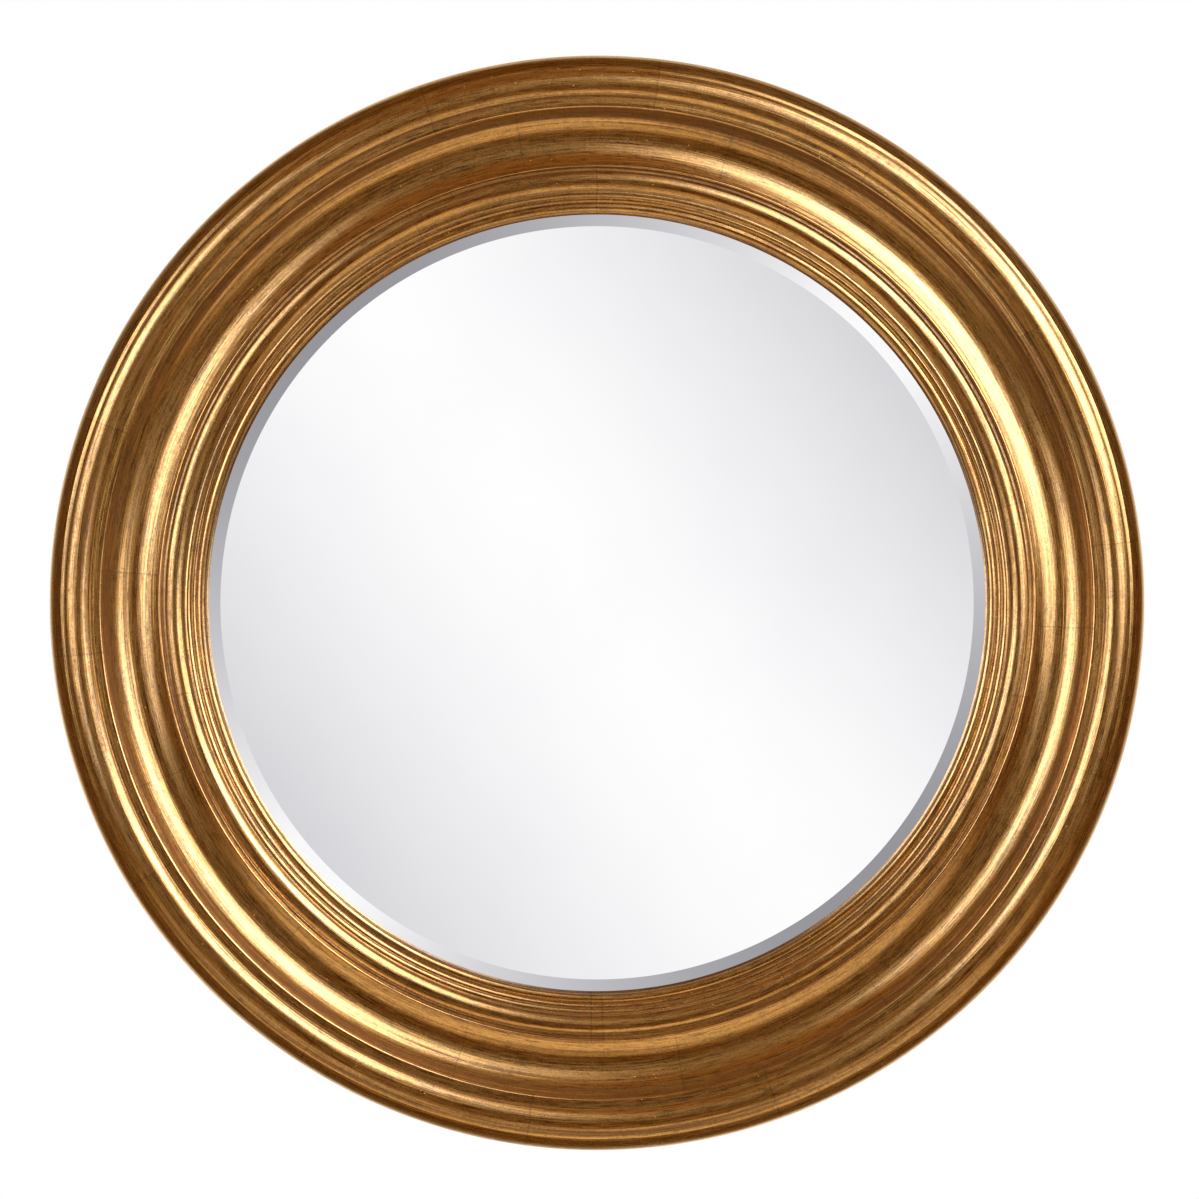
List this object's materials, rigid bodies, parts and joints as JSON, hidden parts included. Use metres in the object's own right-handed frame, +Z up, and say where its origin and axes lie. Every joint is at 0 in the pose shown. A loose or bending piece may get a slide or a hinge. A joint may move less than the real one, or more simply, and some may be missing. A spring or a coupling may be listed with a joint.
{
  "type": "convex wall mirror",
  "caption": "Round convex wall mirror with a bevelled rim in a wide turned, gilded moulding, with back board, turn buttons, hanging rings and wall bumpers.",
  "frame": {"origin": "centre of the round frame, on the plane of the wall that the bumpers rest against", "axes": "+Y from the front into the wall, +Z up the wall, +X to the right as the front is seen"},
  "size_m": [0.8, 0.0586, 0.8],
  "materials": {
    "gold_leaf": "distressed gold leaf over red bole and gesso on turned wood, toned with umber in the hollows",
    "mirror_glass": "silvered glass, polished, with a ground and polished bevel",
    "frame_wood": "bare sawn hardwood at the back, ochre paint at the side",
    "packing_wood": "bare softwood",
    "hardboard": "smooth brown hardboard",
    "brass_fittings": "brass-plated, satin",
    "steel_fittings": "bright zinc-plated steel",
    "bumper_rubber": "matt black rubber"
  },
  "bodies": {
    "frame": {"gilded_moulding": "gold_leaf", "mirror_glass": "mirror_glass", "rear_segment_1": "frame_wood", "rear_segment_2": "frame_wood", "rear_segment_3": "frame_wood", "rear_segment_4": "frame_wood", "rear_segment_5": "frame_wood", "rear_segment_6": "frame_wood", "rear_segment_7": "frame_wood", "rear_segment_8": "frame_wood", "packing_block_1": "packing_wood", "packing_block_2": "packing_wood", "packing_block_3": "packing_wood", "packing_block_4": "packing_wood", "packing_block_5": "packing_wood", "packing_block_6": "packing_wood", "packing_block_7": "packing_wood", "packing_block_8": "packing_wood", "back_board": "hardboard", "turn_button_screw_1": "brass_fittings", "turn_button_screw_2": "brass_fittings", "turn_button_screw_3": "brass_fittings", "turn_button_screw_4": "brass_fittings", "turn_button_screw_5": "brass_fittings", "turn_button_screw_6": "brass_fittings", "turn_button_screw_7": "brass_fittings", "turn_button_screw_8": "brass_fittings", "hanger_strap_left": "steel_fittings", "hanger_strap_right": "steel_fittings", "hanger_screw_left_1": "steel_fittings", "hanger_screw_left_2": "steel_fittings", "hanger_screw_right_1": "steel_fittings", "hanger_screw_right_2": "steel_fittings", "wall_bumper_1": "bumper_rubber", "wall_bumper_2": "bumper_rubber", "wall_bumper_3": "bumper_rubber", "wall_bumper_4": "bumper_rubber", "bumper_screw_1": "steel_fittings", "bumper_screw_2": "steel_fittings", "bumper_screw_3": "steel_fittings", "bumper_screw_4": "steel_fittings"},
    "turn_button_1": {"turn_button_1": "brass_fittings"},
    "turn_button_2": {"turn_button_2": "brass_fittings"},
    "turn_button_3": {"turn_button_3": "brass_fittings"},
    "turn_button_4": {"turn_button_4": "brass_fittings"},
    "turn_button_5": {"turn_button_5": "brass_fittings"},
    "turn_button_6": {"turn_button_6": "brass_fittings"},
    "turn_button_7": {"turn_button_7": "brass_fittings"},
    "turn_button_8": {"turn_button_8": "brass_fittings"},
    "hanger_ring_left": {"hanger_ring_left": "steel_fittings"},
    "hanger_ring_right": {"hanger_ring_right": "steel_fittings"}
  },
  "joints": [
    {"name": "turn_button_1_swing", "type": "hinge", "parent": "frame", "child": "turn_button_1", "pos_m": [0, -0.007, 0.3035], "axis": [0, 1, 0], "continuous": true},
    {"name": "turn_button_2_swing", "type": "hinge", "parent": "frame", "child": "turn_button_2", "pos_m": [0.21461, -0.007, 0.21461], "axis": [0, 1, 0], "continuous": true},
    {"name": "turn_button_3_swing", "type": "hinge", "parent": "frame", "child": "turn_button_3", "pos_m": [0.3035, -0.007, 0], "axis": [0, 1, 0], "continuous": true},
    {"name": "turn_button_4_swing", "type": "hinge", "parent": "frame", "child": "turn_button_4", "pos_m": [0.21461, -0.007, -0.21461], "axis": [0, 1, 0], "continuous": true},
    {"name": "turn_button_5_swing", "type": "hinge", "parent": "frame", "child": "turn_button_5", "pos_m": [0, -0.007, -0.3035], "axis": [0, 1, 0], "continuous": true},
    {"name": "turn_button_6_swing", "type": "hinge", "parent": "frame", "child": "turn_button_6", "pos_m": [-0.21461, -0.007, -0.21461], "axis": [0, 1, 0], "continuous": true},
    {"name": "turn_button_7_swing", "type": "hinge", "parent": "frame", "child": "turn_button_7", "pos_m": [-0.3035, -0.007, 0], "axis": [0, 1, 0], "continuous": true},
    {"name": "turn_button_8_swing", "type": "hinge", "parent": "frame", "child": "turn_button_8", "pos_m": [-0.21461, -0.007, 0.21461], "axis": [0, 1, 0], "continuous": true},
    {"name": "hanger_ring_left_swing", "type": "hinge", "parent": "frame", "child": "hanger_ring_left", "pos_m": [-0.28211, -0.00485, 0.22041], "axis": [1, 0, 0], "range_deg": [0, 180]},
    {"name": "hanger_ring_right_swing", "type": "hinge", "parent": "frame", "child": "hanger_ring_right", "pos_m": [0.28211, -0.00485, 0.22041], "axis": [1, 0, 0], "range_deg": [0, 180]}
  ]
}
